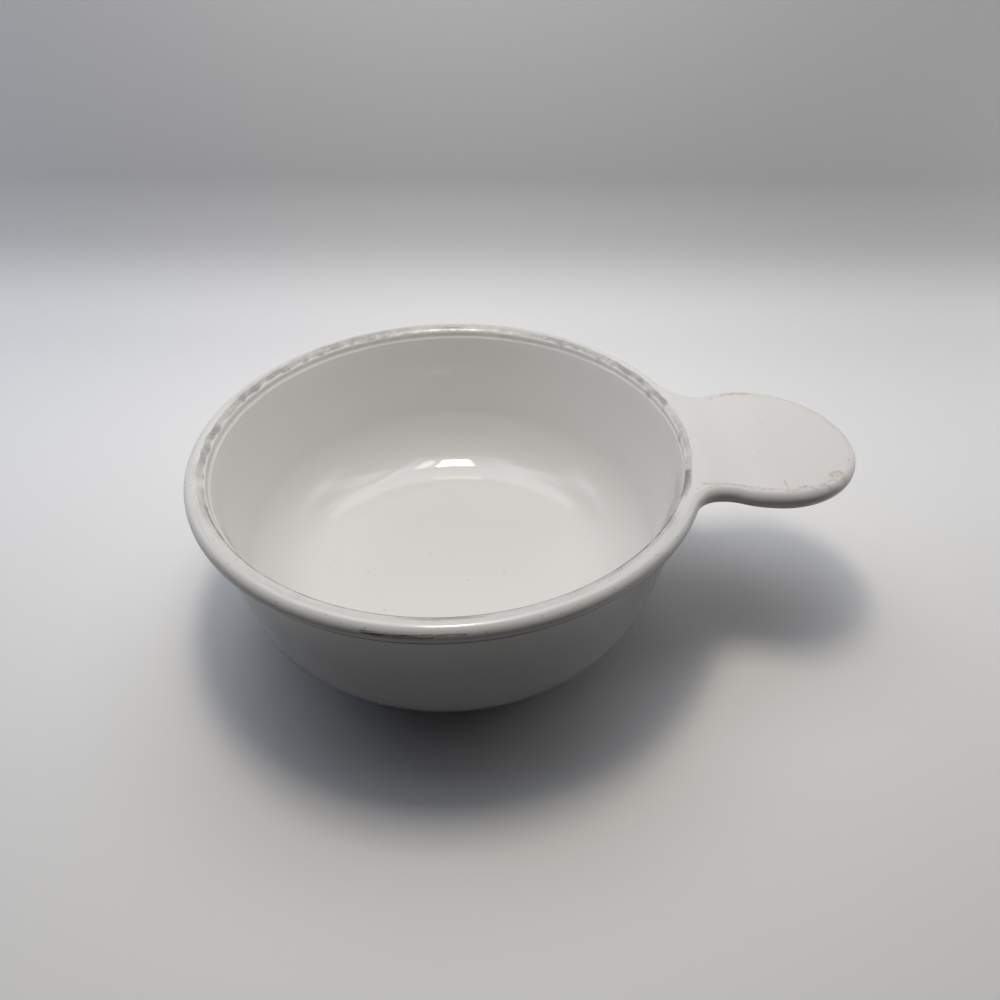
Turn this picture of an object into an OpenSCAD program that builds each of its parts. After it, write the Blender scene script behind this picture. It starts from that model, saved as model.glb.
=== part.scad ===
/* [Rim] */
// Outer diameter across the rounded bead of the rim
rim_d = 140; // [110:1:180]
// Thickness of the rounded bead
bead_d = 5; // [4:0.1:6.5]
// How far the bead stands out from the line of the outer wall, at the top
bead_overhang = 2; // [1.2:0.1:2.6]
// Depth from the top of the bead down to the lid ledge inside it
ledge_depth = 3; // [2.4:0.1:4]
// Slope of the lid ledge towards the inside
ledge_slope = 18; // [5:1:35]
// Rounding of the ledge's inner edge
ledge_edge_r = 0.8; // [0.3:0.1:1.2]
// Radius of the fillet under the bead
under_bead_r = 1.2; // [0.5:0.1:2]
// Height of the rim zone, from the top of the bead down to the plain wall
rim_zone_h = 8; // [7:0.5:12]

/* [Bowl] */
// Height from the table to the top of the bead
height = 54.5; // [44:0.5:75]
// Thickness of the side wall
wall_t = 3.9; // [3:0.1:5]
// Thickness of the floor
floor_t = 4.2; // [3.2:0.1:7]
// Lean of the side wall away from upright, in degrees
wall_draft = 8; // [4:0.5:12]
// Radius of the corner between wall and underside, outside
outer_corner_r = 22.6; // [10:0.1:25]
// Radius of the corner between wall and floor, inside
inner_corner_r = 22; // [8:0.5:26]

/* [Foot] */
// Outer diameter of the foot ring
foot_d = 78; // [60:1:80]
// Width of the foot ring
foot_w = 3.6; // [2.4:0.1:6]
// Height of the foot ring, which is also the depth of the recess inside it
foot_h = 1; // [0.8:0.1:2]
// Rounding of the foot ring's two lower edges
foot_edge_r = 0.5; // [0.2:0.1:0.7]
// How deep the foot ring is rooted in the floor above it
foot_root = 0.6; // [0.3:0.1:1]

/* [Lug] */
// How far the lug stands out from the rim
lug_reach = 42; // [34:1:60]
// Greatest width of the lug
lug_w = 51.3; // [40:0.5:64]
// Thickness of the lug
lug_t = 6; // [5:0.1:7.5]
// Radius of the concave curves that lead from the rim into the lug
flare_r = 10.2; // [7:0.2:18]
// How far the lug's top lies below the top of the bead
lug_drop = 0.8; // [0:0.1:1.5]
// Length of the soft step down to the lug's top, measured out from the rim
lug_step = 10; // [6:0.5:16]

/* [Hidden] */
$fn = 128;
overrun = 1;
rim_r = rim_d / 2;
bead_r = bead_d / 2;
// The bead's centre, in the plane of the section
bead_at = [rim_r - bead_r, height - bead_r];
rim_base_z = height - rim_zone_h;
floor_z = foot_h + floor_t;
foot_r = foot_d / 2;
// The lug's edge is a full round, and its end is one arc about lug_end
edge_r = lug_t / 2;
lug_end_r = lug_w / 2;
lug_end = [rim_r + lug_reach - lug_end_r, 0];
// Each concave curve touches the rim's circle and the arc of the lug's end
from_axis = rim_r + flare_r;
from_end = lug_end_r + flare_r;
flare_x = (from_axis ^ 2 - from_end ^ 2 + lug_end.x ^ 2) / (2 * lug_end.x);
flare_at = [flare_x, sqrt(from_axis ^ 2 - flare_x ^ 2)];
// Direction of the curve's centre, seen from the bowl's axis and from the lug's end
root_angle = atan2(flare_at.y, flare_at.x);
end_angle = atan2(flare_at.y, flare_at.x - lug_end.x);
// Stations along the lug's edge, and steps over its round section
flare_steps = 12;
end_steps = 44;
section_steps = 12;

// Radius of the outer and of the inner wall line at a height
function outer_r(z) = rim_r - bead_overhang - (height - z) * tan(wall_draft);
function inner_r(z) = outer_r(z) - wall_t / cos(wall_draft);

function unit(v) = v / norm(v);
// Where an arc of radius r that rounds the corner at p touches the side towards q
function touch(p, q, other, r) =
    let (half = acos(unit(q - p) * unit(other - p)) / 2) p + unit(q - p) * r / tan(half);
// Centre of the arc of radius r that rounds the corner at p
function arc_centre(p, q, other, r) =
    let (half = acos(unit(q - p) * unit(other - p)) / 2)
    p + unit(unit(q - p) + unit(other - p)) * r / sin(half);

// A convex outline whose corners are rounded by the radii in list order
module rounded(points, radii) {
    n = len(points);
    polygon([
        for (i = [0 : n - 1])
            let (p = points[i], before = points[(i + n - 1) % n], after = points[(i + 1) % n])
            each radii[i] > 0
                ? [touch(p, before, after, radii[i]), touch(p, after, before, radii[i])]
                : [p]
    ]);
    for (i = [0 : n - 1])
        if (radii[i] > 0)
            translate(arc_centre(points[i], points[(i + n - 1) % n], points[(i + 1) % n], radii[i]))
                circle(radii[i]);
}

// Half section of everything inside the outer wall line, from one height to another
module wall_core(low, high) {
    polygon([[0, low], [outer_r(low), low], [outer_r(high), high], [0, high]]);
}

// Half section of the foot ring, from one height to another, its lower corners rounded by r
module foot_section(low, high, r) {
    rounded(
        [
            [foot_r - foot_w, low],
            [foot_r, low],
            [foot_r, high],
            [foot_r - foot_w, high],
        ],
        [r, r, 0, 0]
    );
}

// The wall, the large corner and the floor, below the rim zone
module bowl_shell() {
    color("white")
        difference() {
            rotate_extrude()
                rounded(
                    [
                        [0, foot_h],
                        [outer_r(foot_h), foot_h],
                        [outer_r(rim_base_z), rim_base_z],
                        [0, rim_base_z],
                    ],
                    [0, outer_corner_r, 0, 0]
                );
            rotate_extrude()
                rounded(
                    [
                        [0, floor_z],
                        [inner_r(floor_z), floor_z],
                        [inner_r(height), height],
                        [0, height],
                    ],
                    [0, inner_corner_r, 0, 0]
                );
            rotate_extrude()
                foot_section(foot_h - overrun, foot_h + foot_root, 0);
        }
}

// Half section of the rim: the neck with its lid ledge, the bead, and the fillet under it
module rim_section() {
    ledge_z = height - ledge_depth;
    // The ledge meets the inner wall line below the place where it leaves the bead
    edge_z = ledge_z - (bead_at.x - bead_r - inner_r(ledge_z)) * tan(ledge_slope);
    slope_rise = (bead_at.x - inner_r(edge_z)) * tan(ledge_slope);
    // The fillet's arc touches the bead from below and the outer wall line from outside
    out = [cos(wall_draft), -sin(wall_draft)];
    down = [-sin(wall_draft), -cos(wall_draft)];
    reach = bead_r + under_bead_r;
    side = ([outer_r(bead_at.y), bead_at.y] - bead_at) * out + under_bead_r;
    fillet_at = bead_at + side * out + sqrt(reach ^ 2 - side ^ 2) * down;
    difference() {
        rounded(
            [
                [inner_r(rim_base_z), rim_base_z],
                [outer_r(rim_base_z), rim_base_z],
                fillet_at - under_bead_r * out,
                fillet_at,
                [bead_at.x, edge_z + slope_rise],
                [inner_r(edge_z), edge_z],
            ],
            [0, 0, 0, 0, 0, ledge_edge_r]
        );
        translate(fillet_at)
            circle(under_bead_r);
    }
    translate(bead_at)
        circle(bead_r);
}

// The rim, without the part of the bead that the lug takes over
module rim_ring() {
    color("white")
        difference() {
            rotate_extrude()
                rim_section();
            lug_sector();
        }
}

// The space outside the outer wall line and between the lug's two roots
module lug_sector() {
    far = rim_r + lug_reach;
    difference() {
        translate([0, 0, rim_base_z])
            linear_extrude(rim_zone_h + overrun)
                polygon([
                    [0, 0],
                    far * [cos(root_angle), -sin(root_angle)],
                    [far / cos(root_angle), 0],
                    far * [cos(root_angle), sin(root_angle)],
                ]);
        rotate_extrude()
            wall_core(rim_base_z - overrun, height + 2 * overrun);
    }
}

// A station on the lug's edge: the outermost point, the direction out and the edge's radius
function flare_station(step) =
    let (
        share = step / flare_steps,
        direction = 180 + root_angle + (end_angle - root_angle) * share,
        away = [cos(direction), sin(direction)],
        growth = share ^ 2 * (3 - 2 * share)
    )
    [flare_at + flare_r * away, -away, bead_r + (edge_r - bead_r) * growth];
function end_station(step) =
    let (direction = end_angle * (1 - 2 * step / end_steps), out = [cos(direction), sin(direction)])
    [lug_end + lug_end_r * out, out, edge_r];
function mirrored(station) =
    [[station[0].x, -station[0].y], [station[1].x, -station[1].y], station[2]];

// Height of the lug's top at a distance out from the axis, along the middle of the lug
function lug_top(x) =
    let (share = min(max((x - rim_r) / lug_step, 0), 1))
    height - lug_drop * share ^ 2 * (3 - 2 * share);
// The round section at a station, from its lowest point to its highest
function section_ring(station) = [
    for (step = [0 : section_steps])
        let (
            turn = 180 * step / section_steps - 90,
            at = station[0] - station[1] * station[2] * (1 - cos(turn))
        )
        [at.x, at.y, lug_top(station[0].x) - station[2] * (1 - sin(turn))]
];
// The same heights at the root, drawn in along the radius until they lie inside the wall
function root_ring(ring, side) = [
    for (point = ring)
        [
            inner_r(height) * cos(root_angle),
            side * inner_r(height) * sin(root_angle),
            point.z,
        ]
];

// The lug: its edge is the bead's own section, which swells as it runs round the end and back
module lug_handle() {
    flare = [for (step = [0 : flare_steps]) flare_station(step)];
    end = [for (step = [1 : end_steps - 1]) end_station(step)];
    back = [for (step = [flare_steps : -1 : 0]) mirrored(flare[step])];
    edge_rings = [for (station = concat(flare, end, back)) section_ring(station)];
    last = len(edge_rings) - 1;
    rings = concat(
        [root_ring(edge_rings[0], 1)],
        edge_rings,
        [root_ring(edge_rings[last], -1)]
    );
    count = len(rings);
    across = section_steps + 1;
    tip = (count - 1) / 2;
    sides = [
        for (ring = [0 : count - 2], step = [0 : section_steps - 1])
            let (corner = ring * across + step)
            [corner, corner + 1, corner + across + 1, corner + across]
    ];
    function strip(ring, step) = [
        ring * across + step,
        (ring + 1) * across + step,
        if (ring + 1 < tip) (count - 2 - ring) * across + step,
        (count - 1 - ring) * across + step,
    ];
    function reversed(list) = [for (i = [len(list) - 1 : -1 : 0]) list[i]];
    tops = [for (ring = [0 : tip - 1]) reversed(strip(ring, section_steps))];
    bottoms = [for (ring = [0 : tip - 1]) strip(ring, 0)];
    inside = concat(
        [for (step = [section_steps : -1 : 0]) step],
        [for (step = [0 : section_steps]) (count - 1) * across + step]
    );
    color("white")
        difference() {
            polyhedron([for (ring = rings) each ring], concat(sides, tops, bottoms, [inside]));
            rotate_extrude()
                wall_core(height - lug_drop - lug_t - overrun, height + overrun);
        }
}

// The ring that the bowl stands on
module foot_ring() {
    color("white")
        rotate_extrude()
            foot_section(0, foot_h + foot_root, foot_edge_r);
}

bowl_shell();
rim_ring();
lug_handle();
foot_ring();
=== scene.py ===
# A round soup bowl with a flat lug handle, pressed in one piece from white glass ceramic.
import math

import bpy
import numpy as np
from mathutils import Matrix, Vector


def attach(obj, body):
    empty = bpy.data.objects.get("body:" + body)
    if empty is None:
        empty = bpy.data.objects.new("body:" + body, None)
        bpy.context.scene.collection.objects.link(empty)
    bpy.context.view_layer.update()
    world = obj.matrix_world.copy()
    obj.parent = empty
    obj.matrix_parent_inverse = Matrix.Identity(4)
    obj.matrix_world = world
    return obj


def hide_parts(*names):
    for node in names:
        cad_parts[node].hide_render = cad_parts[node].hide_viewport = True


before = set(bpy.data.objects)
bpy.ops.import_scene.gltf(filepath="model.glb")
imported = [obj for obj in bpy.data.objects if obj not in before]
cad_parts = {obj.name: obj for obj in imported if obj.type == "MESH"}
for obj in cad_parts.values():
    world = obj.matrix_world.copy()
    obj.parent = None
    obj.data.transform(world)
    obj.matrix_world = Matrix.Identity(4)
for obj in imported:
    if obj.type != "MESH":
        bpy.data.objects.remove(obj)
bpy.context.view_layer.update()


# Camera: a phone held close, a little to the right of the bowl's middle and looking down at it.
# Its lens is wide, so the near side of the rim looks larger than the far side.
photo_width = 1000
focal_length = 700
film_width = 36
lens_elevation, lens_azimuth, lens_roll = (math.radians(a) for a in (40.15, 0.22, 0.27))
rim_centre = Vector((0, 0, 0.0545))
rim_centre_depth = 0.19437
rim_centre_pixel = (448.21, 434.6)

backward = Vector(
    (
        math.sin(lens_azimuth) * math.cos(lens_elevation),
        -math.cos(lens_azimuth) * math.cos(lens_elevation),
        math.sin(lens_elevation),
    )
)
level_right = Vector((math.cos(lens_azimuth), math.sin(lens_azimuth), 0))
level_down = (-backward).cross(level_right)
to_right = math.cos(lens_roll) * level_right - math.sin(lens_roll) * level_down
to_bottom = math.sin(lens_roll) * level_right + math.cos(lens_roll) * level_down
across, below = (
    (pixel - photo_width / 2) / focal_length * rim_centre_depth for pixel in rim_centre_pixel
)
camera_data = bpy.data.cameras.new("phone")
camera_data.sensor_width = film_width
camera_data.lens = focal_length / photo_width * film_width
camera_data.clip_start = 0.01
camera_data.clip_end = 20
camera = bpy.data.objects.new("phone", camera_data)
camera.matrix_world = Matrix.Translation(
    rim_centre - across * to_right - below * to_bottom + rim_centre_depth * backward
) @ Matrix((to_right, -to_bottom, backward)).transposed().to_4x4()
bpy.context.scene.collection.objects.link(camera)
bpy.context.scene.camera = camera


# Bowl shell: the wall, the large corner and the floor, down to the flat underside.
# White opaque glass ceramic, pressed hot in a mould, so that every corner is a round bend.
# Its skin waves very slightly, and there are a few specks in the glass.
# Sizes are in mm here, and the scene is in metres.
mm = 0.001
rim_r, height = 70, 54.5
bead_r, bead_overhang = 2.5, 2
wall_t, wall_draft = 3.9, math.radians(8)
floor_z, underside_z = 5.2, 1
outer_corner_r, inner_corner_r = 22.6, 22
rim_base_z = 46.5
bead_at = np.array((rim_r - bead_r, height - bead_r))
# The way the outer wall faces, and the way down along it, in the plane of the half section
wall_out = np.array((math.cos(wall_draft), -math.sin(wall_draft)))
wall_down = np.array((-math.sin(wall_draft), -math.cos(wall_draft)))


def outer_wall(z):
    """Radius of the outer wall line at a height"""
    return rim_r - bead_overhang - (height - z) * math.tan(wall_draft)


def inner_wall(z):
    """Radius of the inner wall line at a height"""
    return outer_wall(z) - wall_t / math.cos(wall_draft)


def straight(start, end, steps):
    """A straight run of a half section: rows of radius, height and the way the glass faces"""
    start, end = np.array(start, float), np.array(end, float)
    along = (end - start) / np.linalg.norm(end - start)
    share = np.linspace(0, 1, steps + 1)[:, None]
    facing = np.tile((along[1], -along[0]), (steps + 1, 1))
    return np.hstack((start + share * (end - start), facing))


def bend(centre, radius, start, end, steps):
    """A bend of a half section, between two directions in degrees; a falling one is hollow"""
    turn = np.radians(np.linspace(start, end, steps + 1))[:, None]
    out = np.hstack((np.cos(turn), np.sin(turn)))
    return np.hstack((np.array(centre) + radius * out, out if end > start else -out))


def beside(first, first_way, first_gap, second, second_way, second_gap):
    """The point at given distances from two lines, each known by a point and the way it faces"""
    ways = np.array((first_way, second_way))
    gaps = (np.dot(first, first_way) + first_gap, np.dot(second, second_way) + second_gap)
    return np.linalg.solve(ways, gaps)


def turned(run, angles):
    """The skin that a run makes when it turns about the bowl's axis through angles in degrees"""
    turn = np.radians(angles)[None, :]
    radius, z, out, up = (column[:, None] for column in run.T)
    level = np.ones_like(turn)
    points = np.stack((radius * np.cos(turn), radius * np.sin(turn), z * level), -1)
    facing = np.stack((out * np.cos(turn), out * np.sin(turn), up * level), -1)
    return points, facing


# Corners nearer together than this are one
weld_gap = 2e-4


def glass_piece(name, skins):
    """Joins skins into one mesh that shades by the true facing of the glass"""
    corners, facings, faces = [], [], []
    count = 0
    for points, facing in skins:
        rows, columns = points.shape[:2]
        index = count + np.arange(rows * columns).reshape(rows, columns)
        quads = np.stack((index[:-1, :-1], index[1:, :-1], index[1:, 1:], index[:-1, 1:]), -1)
        faces.append(quads.reshape(-1, 4))
        corners.append(points.reshape(-1, 3))
        facings.append(facing.reshape(-1, 3))
        count += rows * columns
    corners, facings, faces = (np.concatenate(part) for part in (corners, facings, faces))
    _, first, welded = np.unique(
        np.round(corners / weld_gap).astype(int), axis=0, return_index=True, return_inverse=True
    )
    welded = welded.ravel()
    loops, shading = [], []
    for quad in faces:
        kept = [c for i, c in enumerate(quad) if welded[c] != welded[quad[i - 1]]]
        if len({welded[c] for c in kept}) < 3:
            continue
        across_face = np.cross(
            corners[kept[1]] - corners[kept[0]], corners[kept[-1]] - corners[kept[0]]
        )
        if across_face @ facings[kept].sum(0) < 0:
            kept.reverse()
        loops.append([int(welded[c]) for c in kept])
        shading.extend(facings[kept])
    mesh = bpy.data.meshes.new(name)
    mesh.from_pydata((corners[first] * mm).tolist(), [], loops)
    mesh.update()
    mesh.shade_smooth()
    mesh.normals_split_custom_set(np.array(shading).tolist())
    piece = bpy.data.objects.new(name, mesh)
    bpy.context.scene.collection.objects.link(piece)
    return piece


def add_node(tree, kind, *feeds, named=(), **settings):
    """Adds a shader node, with its settings, and feeds its inputs in order or by name"""
    made = tree.nodes.new("ShaderNode" + kind)
    for name, value in settings.items():
        setattr(made, name, value)
    pairs = [(made.inputs[i], feed) for i, feed in enumerate(feeds)]
    pairs += [(made.inputs[name], feed) for name, feed in dict(named).items()]
    for socket, feed in pairs:
        if isinstance(feed, bpy.types.NodeSocket):
            tree.links.new(feed, socket)
        else:
            socket.default_value = feed
    return made.outputs[0]


def sums(tree, operation, *feeds):
    """Arithmetic on one number at each place"""
    return add_node(tree, "Math", *feeds, operation=operation)


def vector_sums(tree, operation, *feeds, **named):
    """Arithmetic on three numbers at each place; some kinds of it give one number"""
    made = add_node(tree, "VectorMath", *feeds, named=named, operation=operation)
    gives_one = operation in ("DISTANCE", "LENGTH", "DOT_PRODUCT")
    return tree.nodes[-1].outputs["Value"] if gives_one else made


def scaled_by(tree, *shares):
    """The product of masks and strengths"""
    product = shares[0]
    for share in shares[1:]:
        product = sums(tree, "MULTIPLY", product, share)
    return product


def strongest(tree, masks):
    """The strongest of several masks at each place"""
    combined = masks[0]
    for mask in masks[1:]:
        combined = sums(tree, "MAXIMUM", combined, mask)
    return combined


def ramp(tree, value, low, high, at_low=0.0, at_high=1.0):
    """A soft step of a value, from one level to another"""
    return add_node(
        tree, "MapRange", value, low, high, at_low, at_high, interpolation_type="SMOOTHSTEP"
    )


def grain(tree, place, scale, detail=2.0, raggedness=0.5):
    """Cloudy variation, with scale in clouds to a unit of the place"""
    named = {"Vector": place, "Scale": scale, "Detail": detail, "Roughness": raggedness}
    return add_node(tree, "TexNoise", named=named)


def tint(tree, share, colour, other):
    """One colour turned into another by a share"""
    mixed = tree.nodes.new("ShaderNodeMix")
    mixed.data_type = "RGBA"
    for index, feed in ((0, share), (6, colour), (7, other)):
        if isinstance(feed, bpy.types.NodeSocket):
            tree.links.new(feed, mixed.inputs[index])
        else:
            mixed.inputs[index].default_value = (*feed, 1) if index else feed
    return mixed.outputs[2]


def spots(tree, place, centres, core_r, outer_r):
    """Small specks at given points, which fade from a core radius to an outer one"""
    return strongest(
        tree,
        [
            ramp(tree, vector_sums(tree, "DISTANCE", place, centre), core_r, outer_r, 1.0, 0.0)
            for centre in centres
        ],
    )


white, milky_white, speck_brown = (0.75, 0.744, 0.732), (0.765, 0.759, 0.748), (0.40, 0.37, 0.34)
roughness_range = (0.035, 0.06)
glass_ior, wave_depth, wave_strength = 1.5, 0.00004, 0.25


def white_glass(name, marks, dulled=0.0):
    """Glossy opaque white glass ceramic, with the marks that a piece has gathered in use and any
    shade painted on it
    """
    material = bpy.data.materials.new(name)
    material.use_nodes = True
    tree = material.node_tree
    tree.nodes.clear()
    place = tree.nodes.new("ShaderNodeTexCoord").outputs["Object"]
    milky = ramp(tree, grain(tree, place, 22), 0.35, 0.7)
    colour = tint(tree, milky, white, milky_white)
    levels = [level + dulled for level in roughness_range]
    roughness = ramp(tree, grain(tree, place, 55, 3), 0.3, 0.75, *levels)
    # Pin-point specks in the glass, one in a few of the cells of a random division of space
    from_point = add_node(tree, "TexVoronoi", named={"Vector": place, "Scale": 110.0})
    cell_colour = tree.nodes[-1].outputs["Color"]
    rare = ramp(tree, add_node(tree, "SeparateColor", cell_colour), 0.80, 0.82)
    speck = scaled_by(tree, rare, ramp(tree, from_point, 0.02, 0.035, 1.0, 0.0), 0.3)
    colour = tint(tree, speck, colour, speck_brown)
    for mask, mark_colour, mark_roughness in marks(tree, place):
        colour = tint(tree, mask, colour, mark_colour)
        roughness = add_node(tree, "MapRange", mask, 0.0, 1.0, roughness, mark_roughness)
    waves = grain(tree, place, 70, 1.0)
    wavy = {"Strength": wave_strength, "Distance": wave_depth, "Height": waves}
    glass = {
        "Base Color": colour,
        "Roughness": roughness,
        "IOR": glass_ior,
        "Normal": add_node(tree, "Bump", named=wavy),
    }
    shader = add_node(tree, "BsdfPrincipled", named=glass)
    output = tree.nodes.new("ShaderNodeOutputMaterial")
    tree.links.new(shader, output.inputs["Surface"])
    return material


floor_specks = (-8.3, 2.9), (-27.3, -5), (-38.4, -0.2), (15.9, -5), (4.9, -8.6), (-20, -21)


def floor_marks(tree, place):
    """A few dark specks in the floor: every mark is a mask, its colour and its roughness"""
    centres = [(x * mm, y * mm, floor_z * mm) for x, y in floor_specks]
    specks = spots(tree, place, centres, 0.15 * mm, 0.5 * mm)
    return [(scaled_by(tree, specks, 0.35), (0.3, 0.29, 0.27), 0.1)]


all_round = np.linspace(0, 360, 721)
wall_foot = np.array((outer_wall(0), 0))
inner_foot = np.array((inner_wall(0), 0))
upward = (0, 1)
outer_bend_at = beside(
    (0, underside_z), upward, outer_corner_r, wall_foot, wall_out, -outer_corner_r
)
inner_bend_at = beside((0, floor_z), upward, inner_corner_r, inner_foot, wall_out, -inner_corner_r)
draft_angle = math.degrees(wall_draft)
underside = straight((0, underside_z), (outer_bend_at[0], underside_z), 12)
outer_bend = bend(outer_bend_at, outer_corner_r, -90, -draft_angle, 32)
outer_side = straight(outer_bend[-1, :2], (outer_wall(rim_base_z), rim_base_z), 10)
inner_bend = bend(inner_bend_at, inner_corner_r, -draft_angle, -90, 32)
inner_side = straight((inner_wall(rim_base_z), rim_base_z), inner_bend[0, :2], 10)
floor = straight(inner_bend[-1, :2], (0, floor_z), 12)
shell_joint = straight(outer_side[-1, :2], inner_side[0, :2], 1)

shell = glass_piece(
    "bowl_shell_glass",
    [
        turned(run, all_round)
        for run in (underside, outer_bend, outer_side, shell_joint, inner_side, inner_bend, floor)
    ],
)
shell.data.materials.append(white_glass("white_glass_of_bowl", floor_marks))
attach(shell, "root")
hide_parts("bowl_shell")


# Foot ring: the low ring that the bowl stands on, pressed with the floor it stands out from.
# Its edges are rounded, and its contact face is dulled by sliding on tables and shelves.
foot_r, foot_w, foot_edge_r, foot_root_r = 39, 3.6, 0.5, 0.4


def foot_marks(tree, place):
    """The dull contact face"""
    add_node(tree, "SeparateXYZ", place)
    worn = ramp(tree, tree.nodes[-1].outputs["Z"], 0.05 * mm, 0.2 * mm, 0.55, 0.0)
    return [(worn, (0.70, 0.69, 0.67), 0.45)]


foot_inner_r = foot_r - foot_w
inner_root_r, outer_root_r = foot_inner_r - foot_root_r, foot_r + foot_root_r
inner_edge_r, outer_edge_r = foot_inner_r + foot_edge_r, foot_r - foot_edge_r
root_z = underside_z - foot_root_r
foot = glass_piece(
    "foot_ring_glass",
    [
        turned(run, all_round)
        for run in (
            bend((inner_root_r, root_z), foot_root_r, 90, 0, 6),
            straight((foot_inner_r, root_z), (foot_inner_r, foot_edge_r), 1),
            bend((inner_edge_r, foot_edge_r), foot_edge_r, 180, 270, 6),
            straight((inner_edge_r, 0), (outer_edge_r, 0), 3),
            bend((outer_edge_r, foot_edge_r), foot_edge_r, -90, 0, 6),
            straight((foot_r, foot_edge_r), (foot_r, root_z), 1),
            bend((outer_root_r, root_z), foot_root_r, 180, 90, 6),
            straight((outer_root_r, underside_z), (inner_root_r, underside_z), 1),
        )
    ],
)
foot.data.materials.append(white_glass("white_glass_of_foot", foot_marks))
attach(foot, "root")
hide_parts("foot_ring")


# Rim: the rounded bead round the mouth and, inside it, the sloping ledge that a lid sits on.
# Pressed with the wall. Spoons and lids have left grey metal marks along its inside, and the bead
# has black scratches on its front and specks; shade is painted in the hollow under it and along
# its lower edge.
under_bead_r = 1.2
bead_inner_r, bead_steps, fillet_steps = 3.4, 28, 10
# The ledge leaves the bead at a way round its section, and ends in a lip above the throat
ledge_head, ledge_lip, ledge_lip_slope, ledge_edge_r = 147, np.array((63.75, 51.15)), 48, 0.35
lip_length = 0.55
# The lug's outline, because the rim leaves room for its root: two hollow arcs and a round end
lug_reach, lug_w, flare_r = 42, 51.3, 10.2
lug_end_r = lug_w / 2
lug_end_x = rim_r + lug_reach - lug_end_r
flare_x = ((rim_r + flare_r) ** 2 - (lug_end_r + flare_r) ** 2 + lug_end_x**2) / (2 * lug_end_x)
flare_at = np.array((flare_x, math.sqrt((rim_r + flare_r) ** 2 - flare_x**2)))
root_angle = math.degrees(math.atan2(flare_at[1], flare_at[0]))
end_angle = math.degrees(math.atan2(flare_at[1], flare_at[0] - lug_end_x))


def against_bead(surface_point, surface_way, along_way, radius):
    """Centre of the small hollow bend between a flat surface and the bead"""
    side = radius - (bead_at - surface_point) @ surface_way
    along = math.sqrt((bead_r + radius) ** 2 - side**2)
    return bead_at + side * surface_way + along * along_way


def soft_step(value):
    """A soft step from 0 to 1"""
    value = np.clip(value, 0, 1)
    return value * value * (3 - 2 * value)


def direction(vector):
    """The way that a vector points, in degrees"""
    return math.degrees(math.atan2(vector[1], vector[0]))


def curved(start, end, steps):
    """A smooth run between two rows, which leaves and arrives along the surface at each"""
    start, end = np.array(start), np.array(end)
    from_point, from_way, to_point, to_way = start[:2], start[2:], end[:2], end[2:]
    length = np.linalg.norm(to_point - from_point)
    leave, arrive = (length * np.array((way[1], -way[0])) for way in (from_way, to_way))
    leave, arrive = (way * np.sign(way @ (to_point - from_point)) for way in (leave, arrive))
    t = np.linspace(0, 1, steps + 1)[:, None]
    line = (2 * t**3 - 3 * t**2 + 1) * from_point + (t**3 - 2 * t**2 + t) * leave
    line = line + (3 * t**2 - 2 * t**3) * to_point + (t**3 - t**2) * arrive
    rate = (6 * t**2 - 6 * t) * from_point + (3 * t**2 - 4 * t + 1) * leave
    rate = rate + (6 * t - 6 * t**2) * to_point + (3 * t**2 - 2 * t) * arrive
    rate = rate / np.linalg.norm(rate, axis=1)[:, None]
    facing = np.stack((rate[:, 1], -rate[:, 0]), 1)
    if facing[0] @ from_way < 0:
        facing = -facing
    return np.hstack((line, facing))


under_at = against_bead(wall_foot, wall_out, wall_down, under_bead_r)
bead_foot = direction(under_at - bead_at)
# The ledge falls steeply from the bead, is a little less steep at its lip, and rounds into a
# throat that runs out of the wall line below
lip_turn = math.radians(ledge_lip_slope)
throat_foot = np.array((inner_wall(rim_base_z), rim_base_z))
throat_chord = ledge_lip - throat_foot
throat_lean = 2 * math.atan2(throat_chord[0], throat_chord[1]) - wall_draft
lip_inward = np.array((-math.cos(lip_turn), -math.sin(lip_turn)))
lip_way = np.array((-math.sin(lip_turn), math.cos(lip_turn)))
throat_way = np.array((-math.cos(throat_lean), math.sin(throat_lean)))
ledge_edge_at = beside(ledge_lip, lip_way, -ledge_edge_r, ledge_lip, throat_way, -ledge_edge_r)
lip_start = ledge_lip - lip_length * lip_inward
under_bead = bend(under_at, under_bead_r, 180 - draft_angle, bead_foot + 180, fillet_steps)
rim_wall = straight((outer_wall(rim_base_z), rim_base_z), under_bead[0, :2], 3)
bead_outside = bend(bead_at, bead_r, bead_foot, 90, bead_steps)
# Towards the inside the bead is oval, so that it rolls down to the ledge more slowly
bead_inside = bend((0, 0), 1, 90, ledge_head, 18) * (bead_inner_r, bead_r, bead_r, bead_inner_r)
bead_inside[:, :2] += bead_at
bead_inside[:, 2:] /= np.linalg.norm(bead_inside[:, 2:], axis=1)[:, None]
ledge_edge = bend(
    ledge_edge_at, ledge_edge_r, 90 + ledge_lip_slope, 180 - math.degrees(throat_lean), 6
)
ledge = curved(bead_inside[-1], (*lip_start, *lip_way), 6)
lip = straight(lip_start, ledge_edge[0, :2], 1)
throat = curved(ledge_edge[-1], (*throat_foot, *-wall_out), 10)
rim_joint = straight(throat[-1, :2], rim_wall[0, :2], 1)
lug_joint = straight(rim_wall[-1, :2], bead_inside[0, :2], 4)

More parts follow.
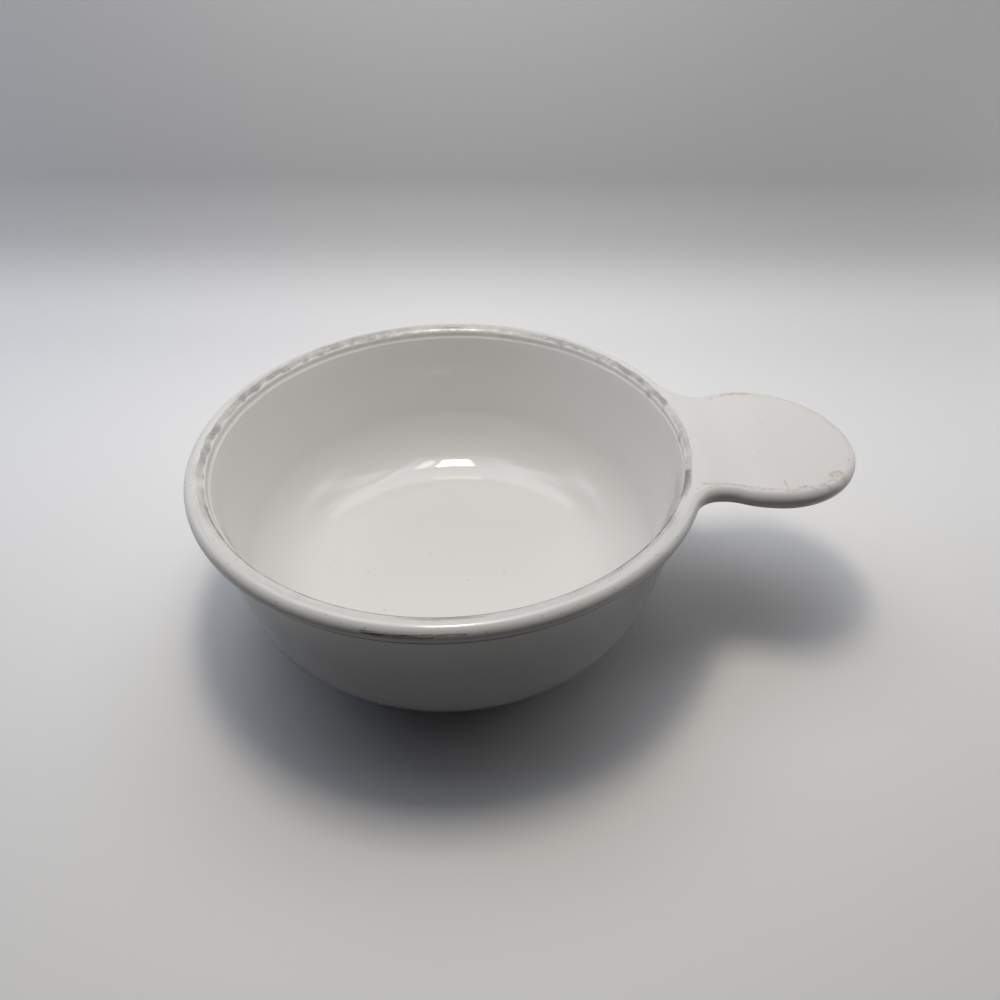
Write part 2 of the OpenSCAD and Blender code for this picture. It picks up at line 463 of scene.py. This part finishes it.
# The lug takes over the outer half of the bead between its two roots. Each of its stations has a
# ray from the bowl's axis: the rays turn fast where the lug's edge leaves the rim, then slowly
station_count = 84
settle_length, slow_rate = 8.0, 0.00543
path = np.linspace(0, 1, station_count + 1)
flare_length = math.radians(end_angle - root_angle) * flare_r
end_length = math.radians(end_angle) * lug_end_r
fine = np.linspace(0, flare_length + end_length, 4001)
fast_rate = (math.radians(root_angle) - slow_rate * fine[-1]) / settle_length
swept = fast_rate * settle_length * (1 - np.exp(-fine / settle_length)) + slow_rate * fine
half_way = np.interp(path * swept[-1], swept, fine)
half_angles = root_angle * (1 - path)
lug_angles = np.concatenate((half_angles, -half_angles[-2::-1]))
open_angles = np.linspace(root_angle, 360 - root_angle, 312)


def round_axis(tree, place):
    """Distance from the bowl's axis in mm, the way round from +X in degrees, and height in mm"""
    add_node(tree, "SeparateXYZ", place)
    x, y, z = tree.nodes[-1].outputs
    radius = vector_sums(tree, "LENGTH", vector_sums(tree, "MULTIPLY", place, (1000, 1000, 0)))
    turn = sums(tree, "DEGREES", sums(tree, "ARCTAN2", y, x))
    return radius, sums(tree, "WRAP", turn, 360.0, 0.0), sums(tree, "MULTIPLY", z, 1000.0)


def between(tree, value, low, high, soft):
    """One between two values, with soft steps at both"""
    rise = ramp(tree, value, low - soft / 2, low + soft / 2)
    fall = ramp(tree, value, high - soft / 2, high + soft / 2, 1.0, 0.0)
    return sums(tree, "MULTIPLY", rise, fall)


def graph(tree, value, points):
    """A value that follows straight lines between points"""
    curve = tree.nodes.new("ShaderNodeFloatCurve")
    line = curve.mapping.curves[0]
    start, end = points[0][0], points[-1][0]
    for place_on, level in points[1:-1]:
        line.points.new((place_on - start) / (end - start), level)
    line.points[0].location = (0, points[0][1])
    line.points[-1].location = (1, points[-1][1])
    for point in line.points:
        point.handle_type = "VECTOR"
    curve.mapping.update()
    tree.links.new(add_node(tree, "MapRange", value, start, end, 0.0, 1.0), curve.inputs["Value"])
    return curve.outputs[0]


def on_bead(turn, slope):
    """A point on the bead, by the way round from +X and the way round its section, in degrees"""
    r = bead_at[0] + (bead_r if slope < 90 else bead_inner_r) * math.cos(math.radians(slope))
    z = bead_at[1] + bead_r * math.sin(math.radians(slope))
    return r * math.cos(math.radians(turn)), r * math.sin(math.radians(turn)), z


def in_mm(tree, place, rag, flat=False):
    """The place in mm, shaken a little so that marks get ragged edges"""
    scaled = vector_sums(tree, "MULTIPLY", place, (1000, 1000, 0 if flat else 1000))
    add_node(tree, "TexNoise", named={"Vector": scaled, "Scale": 1.1, "Detail": 3.0})
    shake = vector_sums(tree, "SUBTRACT", tree.nodes[-1].outputs["Color"], (0.5, 0.5, 0.5))
    reach = (rag, rag, 0 if flat else rag)
    return vector_sums(tree, "MULTIPLY_ADD", shake, reach, scaled)


def stroke(tree, place, line, width, *strengths):
    """A scratch or stain of a width, drawn through points in mm"""
    spans = []
    for start, end in zip(line[:-1], line[1:]):
        span = Vector(end) - Vector(start)
        from_start = vector_sums(tree, "SUBTRACT", place, start)
        share = vector_sums(tree, "DOT_PRODUCT", from_start, span / span.length_squared)
        nearest = vector_sums(tree, "SCALE", span, Scale=add_node(tree, "Clamp", share, 0.0, 1.0))
        gap = vector_sums(tree, "DISTANCE", from_start, nearest)
        spans.append(ramp(tree, gap, width * 0.2, width * 0.8, 1.0, 0.0))
    return scaled_by(tree, strongest(tree, spans), *strengths)


metal_grey, metal_dark = (0.35, 0.335, 0.325), (0.045, 0.043, 0.04)
# Strength of the grey metal marks against the way round from +X, in degrees: on the bead's inner
# flank, on its crown and on the ledge
flank_marks = [
    (0, 0.45), (5, 0.4), (10, 0.25), (14, 0.12), (15.5, 0.6), (17, 0.65), (20, 0.5), (23, 0.48),
    (26, 0.5), (28, 0.68), (31, 0.6), (34, 0.78), (38, 0.72), (40, 0.5), (43, 0.82), (46, 0.5),
    (49, 0.55), (53, 0.7), (56, 0.55), (59, 0.68), (66, 0.6), (73, 0.45), (82, 0.4), (85, 0.52),
    (97, 0.6), (103, 0.42), (110, 0.62), (133, 0.7), (136, 0.5), (140, 0.7), (146, 0.62),
    (149, 0.75), (154, 0.62), (163, 0.88), (166, 0.55), (170, 0.42), (175, 0.35), (178, 0.65),
    (181, 0.72), (184, 0.45), (187, 0.58), (196, 0.55), (199, 0.08), (202, 0.35), (208, 0.4),
    (214, 0.2), (225, 0.15), (240, 0.1), (262, 0.15), (268, 0.5), (278, 0.5), (282, 0.15),
    (298, 0.3), (310, 0.35), (316, 0.25), (319, 0.35), (328, 0.4), (331, 0.25), (334, 0.02),
    (337, 0.25), (340, 0.5), (343, 0.6), (346, 0.4), (349, 0.28), (355, 0.38), (360, 0.45),
]  # fmt: skip
crown_marks = [
    (0, 0), (20, 0), (43, 0.05), (50, 0.2), (58, 0.35), (75, 0.35), (90, 0.33), (104, 0.45),
    (109, 0.65), (127, 0.75), (134, 0.65), (136, 0.42), (142, 0.5), (145, 0.3), (148, 0.45),
    (154, 0.28), (163, 0.4), (166, 0.18), (169, 0), (190, 0), (196, 0.25), (199, 0), (211, 0.2),
    (214, 0.05), (226, 0.12), (241, 0.25), (260, 0.1), (298, 0.25), (310, 0.15), (316, 0.1),
    (328, 0.3), (331, 0.1), (343, 0), (360, 0),
]  # fmt: skip
ledge_marks = [
    (0, 0.5), (10, 0.45), (15, 0.38), (25, 0.25), (31, 0.28), (37, 0.37), (60, 0.42), (100, 0.44),
    (120, 0.42), (135, 0.35), (160, 0.38), (166, 0.28), (172, 0.24), (184, 0.22), (190, 0.42),
    (196, 0.25), (199, 0.2), (202, 0.4), (225, 0.4), (241, 0.35), (298, 0.3), (310, 0.45),
    (318, 0.6), (325, 0.4), (328, 0.75), (331, 0.6), (334, 0.1), (340, 0.7), (346, 0.5),
    (352, 0.4), (360, 0.5),
]  # fmt: skip
# Places on the bead: the way round from +X and the way round its section
bead_specks = [
    (-149.5, 115), (-132, 108), (-128, 110), (-115, 110), (-132, 72), (-105, 50), (-100.6, 47),
    (-70, 59), (-66.7, 40), (-63, 48), (-55, 47), (-35.6, 50), (-51, 113), (-31, 113), (-79.9, 32),
    (-108, 70), (-118, 44), (-43, 66), (-160, 88), (-140, 95), (-24, 75), (-88, 70),
]  # fmt: skip
# Lines drawn through such places, each with its width in mm and its strength
black_scratches = [
    ([(-101.2, 29), (-98.6, 24), (-96, 24), (-93.5, 26), (-91, 26), (-89.1, 28)], 0.9, 0.95),
    ([(-99, 20), (-95.5, 18), (-92, 21)], 0.6, 0.6),
    ([(-88.4, 35), (-86.5, 33), (-83.5, 32)], 0.6, 0.8),
]
front_blot = [(-90, 133), (-84.6, 129)]
metal_patches = [
    ([(-13.5, 141), (-17, 143), (-22, 145)], 2.4, 0.7),
    ([(-30, 143), (-33, 142), (-37, 139)], 1.0, 0.85),
    ([(-41, 139), (-45, 137), (-51, 135)], 0.8, 0.75),
    ([(-80, 134), (-89, 133), (-100, 132)], 0.6, 0.6),
]
# Strength, against the way round from +X, of the dull scuffs with painted shade and of the painted
# shade under the bead
scuff_and_shade_reach = [
    (0, 0), (195, 0), (215, 0.4), (230, 0.6), (246, 0.85), (252, 0.5), (290, 0.35), (305, 0.6),
    (320, 0.8), (326, 0.3), (340, 0), (360, 0),
]  # fmt: skip
under_bead_shade_reach = [
    (0, 0), (185, 0.1), (205, 0.45), (225, 0.8), (250, 0.85), (290, 0.85), (320, 0.75),
    (335, 0.4), (345, 0.1), (360, 0),
]  # fmt: skip


def rim_marks_and_shade(tree, place):
    """Marks of use on the rim and painted shade round the bead, placed by the radius, the way
    round and the height
    """
    radius, turn, up = round_axis(tree, place)

    def stretched(*factors):
        """A place in the rim's own directions: the way round, the radius and the height"""
        shares = [scaled_by(tree, *pair) for pair in zip((turn, radius, up), factors)]
        return add_node(tree, "CombineXYZ", *shares)

    def drawn(lines, texture):
        """Lines drawn on the bead, each with its width and strength"""
        masks = []
        for line, width, strength in lines:
            points = [on_bead(*stop) for stop in line]
            masks.append(stroke(tree, ragged, points, width, texture, strength))
        return strongest(tree, masks)

    # Fine streaks that run across the rim as spoons do, and broad smudges
    streaks = ramp(tree, grain(tree, stretched(0.9, 0.25, 0.25), 1.0, 4, 0.65), 0.28, 0.72)
    smudges = ramp(tree, grain(tree, stretched(0.25, 0.6, 0.0), 1.0, 2), 0.3, 0.7)
    clouds = sums(tree, "ADD", scaled_by(tree, streaks, 0.4), scaled_by(tree, smudges, 0.6))
    rubbed = sums(tree, "MULTIPLY_ADD", clouds, 0.9, 0.55)
    # Grey metal on the ledge, on the bead's inner flank and on its crown, from the throat up
    shaken = sums(tree, "ADD", radius, sums(tree, "MULTIPLY_ADD", smudges, 0.5, -0.25))
    bands = [
        (ledge_marks, ramp(tree, shaken, 64.3, 64.8, 0.45, 0.0), 1.0),
        (flank_marks, between(tree, shaken, 64.9, 66.5, 0.4), 1.3),
        (crown_marks, between(tree, shaken, 66.3, 67.5, 0.6), 1.0),
    ]
    rubs = [
        scaled_by(tree, graph(tree, turn, line), band, rubbed, gain) for line, band, gain in bands
    ]
    above_throat = ramp(tree, up, 51.05, 51.45)
    rubs = scaled_by(tree, strongest(tree, rubs), above_throat)
    # The thin dark line where the front of the bead turns down to the ledge
    front_half = scaled_by(tree, between(tree, turn, 205, 338, 12), above_throat)
    front_dark_line = scaled_by(tree, front_half, between(tree, radius, 64.9, 65.4, 0.25), rubbed, 0.6)
    # Black scratches on the front of the bead, which run along it in threads
    ragged = in_mm(tree, place, 0.5)
    along = add_node(tree, "CombineXYZ", scaled_by(tree, turn, 0.22), scaled_by(tree, up, 6.0))
    threads = ramp(tree, grain(tree, along, 1.0, 4, 0.65), 0.44, 0.54)
    scratched = drawn(black_scratches, threads)
    # Grey metal in patches where the bead turns down to the ledge, right of the front
    patched = drawn(metal_patches, rubbed)
    blot = drawn([(front_blot, 0.55, 0.5)], 1.0)
    # Dull scuffs in threads on the outermost line of the bead, low down, with painted shade along
    # its lower edge
    scuffs_and_shade = scaled_by(
        tree,
        graph(tree, turn, scuff_and_shade_reach),
        between(tree, up, 50.3, 51.6, 0.6),
        ramp(tree, radius, 68.3, 68.6),
        threads,
    )
    # Painted shade low on the bead, in the hollow under it
    under_bead_shade = scaled_by(
        tree,
        graph(tree, turn, under_bead_shade_reach),
        ramp(tree, up, 50.7, 52.2, 1.0, 0.0),
        ramp(tree, radius, 67.9, 68.3),
    )
    specks = spots(tree, ragged, [on_bead(*speck) for speck in bead_specks], 0.12, 0.24)
    # A warm bloom on the far side of the bead
    far_side = between(tree, turn, 72, 112, 12)
    bloom = scaled_by(tree, far_side, ramp(tree, radius, 65.8, 66.8), 0.5)
    return [
        (bloom, (0.72, 0.62, 0.55), 0.15),
        (rubs, metal_grey, 0.25),
        (front_dark_line, (0.22, 0.21, 0.2), 0.3),
        # Painted shade under the bead, nearly black
        (under_bead_shade, (0.075, 0.073, 0.072), 0.2),
        (patched, (0.20, 0.192, 0.185), 0.3),
        # Dull scuffs, partly painted shade along the bead's lower edge
        (scuffs_and_shade, (0.16, 0.155, 0.15), 0.3),
        (blot, (0.16, 0.15, 0.14), 0.3),
        (scratched, metal_dark, 0.3),
        (scaled_by(tree, specks, 0.5), (0.16, 0.14, 0.12), 0.3),
    ]


# How much narrower the ledge came out on one side, and how it fades out towards the bead, down
# the throat and round to the other side
ledge_gain, narrowest_turn, one_sided = 0.9, -20, 1.5
gain_start_r, gain_full_length, gain_rise = 64.9, 1.1, 3.5


def pressed(run, angles):
    """The turned inside of the rim, where the ledge came out narrower towards the lug"""
    points, facing = turned(run, angles)
    radius = np.linalg.norm(points[..., :2], axis=-1)
    held = soft_step((points[..., 2] - rim_base_z) / gain_rise)
    held = held * soft_step((gain_start_r - radius) / gain_full_length)
    near_lug = (0.5 + 0.5 * np.cos(np.radians(angles - narrowest_turn))) ** one_sided
    points[..., :2] *= (1 + ledge_gain * held * near_lug / radius)[..., None]
    return points, facing


rim = glass_piece(
    "rim_bead_and_ledge",
    [turned(run, open_angles) for run in (rim_wall, under_bead, bead_outside)]
    + [turned(run, np.sort(lug_angles)) for run in (rim_wall, lug_joint)]
    + [
        pressed(run, np.concatenate((np.sort(lug_angles), open_angles[1:])))
        for run in (bead_inside, ledge, lip, ledge_edge, throat, rim_joint)
    ],
)
rim.data.materials.append(white_glass("white_glass_of_rim", rim_marks_and_shade, 0.10))
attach(rim, "root")
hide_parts("rim_ring")


# Lug: the flat rounded tab that the bowl is carried by, pressed with the rim. Its edge is the
# bead's own section, which swells as it runs out round the end and back, and its top is a little
# lower than the bead. Food has stained its top and its front edge is scuffed.
lug_edge_r, edge_swell_length = 2.8, 30
lug_fillet_r, fillet_swell_length = 2.2, 9
blend_reach = 3
top_steps, flat_steps = 24, 12


def lug_station(way, side):
    """A place on the lug's edge: its outermost point and the way out from it"""
    if way < flare_length:
        turn = math.radians(180 + root_angle) + way / flare_r
        out = -np.array((math.cos(turn), math.sin(turn)))
        point = flare_at - flare_r * out
    else:
        turn = math.radians(end_angle) - (way - flare_length) / lug_end_r
        out = np.array((math.cos(turn), math.sin(turn)))
        point = np.array((lug_end_x, 0)) + lug_end_r * out
    return point * (1, side), out * (1, side)


def lug_section(way, angle, side):
    """Points across the lug at a station: over its top, round its edge and in under it"""
    point, out = lug_station(way, side)
    edge_r = bead_r + (lug_edge_r - bead_r) * soft_step(way / edge_swell_length)
    fillet_r = under_bead_r + (lug_fillet_r - under_bead_r) * soft_step(way / fillet_swell_length)
    inner = point - out * edge_r
    ray = np.array((math.cos(math.radians(angle)), math.sin(math.radians(angle))))
    # Distances are measured in from the edge: first to the wall, where the underside ends
    gap = inner - (rim_r - bead_overhang) * ray
    outward = gap @ ray
    reach = outward + (np.linalg.norm(gap) - abs(outward)) * soft_step(outward / blend_reach)
    wall_top = edge_r + reach
    slope = math.tan(wall_draft)
    centre = np.array((edge_r, height - edge_r))
    fillet_z = height - 2 * edge_r - fillet_r
    fillet_s = wall_top + (height - fillet_z) * slope - fillet_r / math.cos(wall_draft)
    foot_turn = 90.0
    # Near the root there is no flat underside, and the hollow bend touches the round edge itself
    if fillet_s < edge_r:
        way_out = np.array((-math.cos(wall_draft), -math.sin(wall_draft)))
        way_down = np.array((math.sin(wall_draft), -math.cos(wall_draft)))
        side_gap = fillet_r - (centre - (wall_top, height)) @ way_out
        along = math.sqrt((edge_r + fillet_r) ** 2 - side_gap**2)
        fillet_s, fillet_z = centre + side_gap * way_out + along * way_down
        foot_turn = direction(centre - (fillet_s, fillet_z))
    share = np.linspace(0, 1, top_steps + 1)[:, None]
    crest = bead_at[0] * ray
    top = np.hstack((crest + share * (inner - crest), np.full_like(share, height)))
    turn = np.radians(np.linspace(90, -foot_turn, bead_steps + 1))
    edge = edge_r * np.stack((1 - np.cos(turn), np.sin(turn) - 1), -1) + (0, height)
    turn = np.radians(np.linspace(foot_turn, draft_angle, fillet_steps + 1))
    fillet = np.array((fillet_s, fillet_z)) + fillet_r * np.stack((np.cos(turn), np.sin(turn)), -1)
    flat = np.linspace(edge[-1], fillet[0], flat_steps + 1)
    rest = np.concatenate((edge, flat[1:], fillet[1:]))
    under = []
    for s, z in rest:
        if s <= edge_r:
            plan = point - out * s
        else:
            wall_s = wall_top + (height - z) * slope
            wall_point = outer_wall(z) * ray
            plan = inner + (wall_point - inner) * (s - edge_r) / max(wall_s - edge_r, 1e-6)
        under.append((plan[0], plan[1], z))
    return np.concatenate((top, np.array(under)[1:]))


ways = np.concatenate((half_way, half_way[-2::-1]))
sides = np.concatenate((np.ones(station_count + 1), -np.ones(station_count)))
lug_points = np.array([lug_section(*station) for station in zip(ways, lug_angles, sides)])
# The top's step down, and a shallow valley along the bead, by their distance from its crest
step_down, step_length = 0.1, 11
valley_depth, valley_fall, valley_rise, valley_end = 0.4, 7, 12, 22
crest_width = 1.5
from_crest = np.hypot(lug_points[..., 0], lug_points[..., 1]) - bead_at[0]
past_crest = from_crest - crest_width
valley = soft_step(past_crest / valley_fall) * soft_step((valley_end - from_crest) / valley_rise)
lug_points[..., 2] -= step_down * soft_step(past_crest / step_length) + valley_depth * valley


old_food, scratch_grey = (0.55, 0.40, 0.24), (0.24, 0.235, 0.23)
# Stains and scratches on the lug's top, through points in mm, each with its width and strength
brown_stains = [
    ([(80.8, 21.9), (82.7, 22.4), (84.3, 22.7), (85.8, 22.7), (89.4, 22.6)], 0.9, 0.8),
    ([(89.4, 22.6), (98, 19.9), (102.9, 16.6), (106.8, 10.8), (108.6, 5)], 0.7, 0.3),
    ([(100.2, -17), (101.4, -15.9), (102.9, -15.6), (103.6, -16.6), (103.7, -17.7)], 1.5, 0.65),
    ([(103.7, -17.7), (102.4, -17.6), (101.4, -17)], 1.5, 0.4),
    ([(87.5, -19.3), (87.4, -20.8), (87.4, -22.4), (87.2, -23.4)], 0.6, 0.45),
]
lug_scratches = [
    ([(66.3, -21), (69.4, -20.7), (72.3, -20.4), (75, -20.8)], 1.0, 0.28),
    ([(75, -20.8), (78.9, -22.2), (81.4, -22.5), (83.5, -22.9)], 1.0, 0.3),
    ([(84.5, -23), (88, -23.3), (90.6, -22.9)], 0.8, 0.25),
    ([(90.6, -22.1), (92.7, -21.7), (94.5, -22.5)], 0.9, 0.4),
    ([(95.9, -21.3), (97.7, -20.6), (98.6, -21.4)], 0.9, 0.4),
    ([(98.8, -19.3), (100, -18.7), (101, -18.9)], 0.8, 0.35),
    ([(77, 20.1), (77.8, 20.3)], 0.6, 0.4),
    ([(107.4, -10.2), (107.8, -9.8)], 0.5, 0.5),
]
lug_specks = [
    (89.2, 7.5), (91.1, -0.4), (84.4, -6.6), (62.4, -23.4), (64.3, -23), (66.5, -21), (66.9, -24),
    (68, -22.2),
]  # fmt: skip


def lug_marks(tree, place):
    """A rosy tinge, stains, scratches and specks on the lug's top"""
    _, _, up = round_axis(tree, place)
    on_top = ramp(tree, up, 51.5, 52.5)
    ragged = in_mm(tree, place, 1.3, True)
    rosy = ramp(tree, grain(tree, place, 60, 2), 0.35, 0.65)
    marks = [(scaled_by(tree, rosy, on_top, 0.8), (0.785, 0.755, 0.757), 0.06)]
    broken = ramp(tree, grain(tree, ragged, 1.4, 4, 0.65), 0.36, 0.6, 0.15, 1.0)
    for lines, colour in ((brown_stains, old_food), (lug_scratches, scratch_grey)):
        drawn = [
            stroke(tree, ragged, [(*stop, 0) for stop in line], width, strength)
            for line, width, strength in lines
        ]
        marks.append((scaled_by(tree, strongest(tree, drawn), on_top, broken), colour, 0.3))
    specks = spots(tree, ragged, [(*speck, 0) for speck in lug_specks], 0.1, 0.35)
    marks.append((scaled_by(tree, specks, on_top, 0.35), (0.2, 0.17, 0.15), 0.3))
    return marks


def at_turn(section_facing, turn):
    """The way that a half section faces, given as out and up, where it stands at a turn"""
    out, up = section_facing
    return np.stack(np.broadcast_arrays(out * np.cos(turn), out * np.sin(turn), up), -1)


lug_facing = np.cross(np.gradient(lug_points, axis=0), np.gradient(lug_points, axis=1))
lug_facing /= np.maximum(np.linalg.norm(lug_facing, axis=-1, keepdims=True), 1e-12)
# Where it joins the bead and the wall the lug faces as they do, so that no seam shows
lug_facing[:, 0] = (0, 0, 1)
root_run = np.concatenate((bead_outside[::-1], under_bead[::-1][1:]))
repeats = np.ones(len(root_run), int)
repeats[0], repeats[bead_steps] = top_steps + 1, flat_steps + 1
root_rows = np.repeat(root_run, repeats, 0)
for station in (0, -1):
    lug_facing[station] = at_turn(root_rows[:, 2:].T, math.radians(lug_angles[station]))
lug_turns = np.radians(lug_angles)
lug_facing[:, -1] = at_turn(wall_out, lug_turns)
joint_points = np.stack((lug_points[:, -1], lug_points[:, 0]), 1)
joint_facing = at_turn((-1, 0), lug_turns)[:, None].repeat(2, 1)

lug = glass_piece("lug_handle_glass", [(lug_points, lug_facing), (joint_points, joint_facing)])
lug.data.materials.append(white_glass("white_glass_of_lug", lug_marks))
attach(lug, "root")
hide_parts("lug_handle")


# Table and backdrop: one sheet of matt white card that runs back from the bowl and curves up.
# It is not part of the bowl, and only its look to the camera and in the glaze is pale: the light
# that it throws back is that of a greyer card.
sheet_half_width, sheet_front, sheet_bend_y, sheet_bend_r, sheet_top = 1.5, -1.0, 0.165, 0.06, 1.2
sheet_curve = bend((sheet_bend_y, sheet_bend_r), sheet_bend_r, -90, 0, 24)[:, :2]
sheet_line = [(sheet_front, 0), *sheet_curve.tolist(), (sheet_bend_y + sheet_bend_r, sheet_top)]
sheet_mesh = bpy.data.meshes.new("white_card")
sheet_mesh.from_pydata(
    [(x, y, z) for y, z in sheet_line for x in (-sheet_half_width, sheet_half_width)],
    [],
    [(2 * i, 2 * i + 1, 2 * i + 3, 2 * i + 2) for i in range(len(sheet_line) - 1)],
)
sheet_mesh.shade_smooth()
white_card = bpy.data.objects.new("white_card", sheet_mesh)
bpy.context.scene.collection.objects.link(white_card)
table_white, wall_white = (0.95, 0.95, 0.955), (0.66, 0.66, 0.665)
thrown_grey = (0.35, 0.35, 0.36)
card = bpy.data.materials.new("matt_white_card")
card.use_nodes = True
card_tree = card.node_tree
card_shader = card_tree.nodes["Principled BSDF"]
card_shader.inputs["Roughness"].default_value = 0.9
add_node(card_tree, "TexCoord")
add_node(card_tree, "SeparateXYZ", card_tree.nodes[-1].outputs["Object"])
risen = ramp(card_tree, card_tree.nodes[-1].outputs["Z"], -0.002, 0.035)
shown_colour = tint(card_tree, risen, table_white, wall_white)
add_node(card_tree, "LightPath")
ray_kinds = card_tree.nodes[-1].outputs
seen = sums(card_tree, "MAXIMUM", ray_kinds["Is Camera Ray"], ray_kinds["Is Glossy Ray"])
card_colour = tint(card_tree, seen, thrown_grey, shown_colour)
card_tree.links.new(card_colour, card_shader.inputs["Base Color"])
white_card.data.materials.append(card)


# Lamps: a small warm panel in the middle of a wide one above the bowl, weak panels beside it,
# and soft light through cloth from above the back and from both sides, as in a small photo tent.
def panel_lamp(name, place, size, power, colour, aim=(0, 0, -1)):
    """A rectangle that gives an even light one way"""
    lamp_data = bpy.data.lights.new(name, "AREA")
    lamp_data.shape = "RECTANGLE"
    lamp_data.size, lamp_data.size_y = size
    lamp_data.energy = power
    lamp_data.color = colour
    lamp = bpy.data.objects.new(name, lamp_data)
    lamp.location = place
    lamp.rotation_euler = Vector(aim).to_track_quat("-Z", "Y").to_euler()
    bpy.context.scene.collection.objects.link(lamp)


plain_light, cool_light = (1.0, 0.99, 1.0), (0.9, 0.94, 1.0)
panel_lamp("warm_panel", (-0.0105, 0.018, 0.36), (0.049, 0.080), 0.33, (1.0, 0.88, 0.70))
panel_lamp("side_panel", (0.036, 0.015, 0.3605), (0.022, 0.075), 0.036, (1.0, 0.93, 0.80))
panel_lamp("wide_panel", (-0.009, 0.02, 0.361), (0.18, 0.18), 0.17, (0.80, 0.89, 1.0))
panel_lamp("left_strip", (-0.115, 0.03, 0.36), (0.05, 0.18), 0.04, cool_light)
panel_lamp("right_strip", (0.075, 0.05, 0.3605), (0.02, 0.15), 0.011, plain_light)
panel_lamp("back_strip", (-0.015, 0.18, 0.36), (0.30, 0.14), 0.19, cool_light)
panel_lamp("left_side", (-0.19, 0.05, 0.245), (0.06, 0.25), 0.045, cool_light, (1, -0.2, -1.1))
panel_lamp("right_side", (0.19, 0.05, 0.245), (0.06, 0.25), 0.05, plain_light, (-1, -0.2, -1.1))
panel_lamp("top_cloth", (0, 0.16, 0.40), (0.5, 0.3), 0.42, (0.92, 0.95, 1.0))
panel_lamp("left_cloth", (-0.34, 0.12, 0.15), (0.3, 0.3), 0.26, (0.80, 0.85, 1.0), (1, 0, 0))
panel_lamp("right_cloth", (0.34, 0.12, 0.15), (0.3, 0.3), 0.24, plain_light, (-1, 0, 0))
# Hardly any light comes from the room, which shows pale beyond the sheet all the same
room_light, room_paleness = 0.004, 0.4
room = bpy.data.worlds.new("pale_room")
room.use_nodes = True
room_tree = room.node_tree
background = room_tree.nodes["Background"].inputs
background["Color"].default_value = (0.9, 0.93, 1.0, 1)
add_node(room_tree, "LightPath")
straight_on = room_tree.nodes[-1].outputs["Is Camera Ray"]
room_strength = sums(room_tree, "MULTIPLY_ADD", straight_on, room_paleness, room_light)
room_tree.links.new(room_strength, background["Strength"])
bpy.context.scene.world = room

bpy.context.scene.view_settings.view_transform = "Standard"
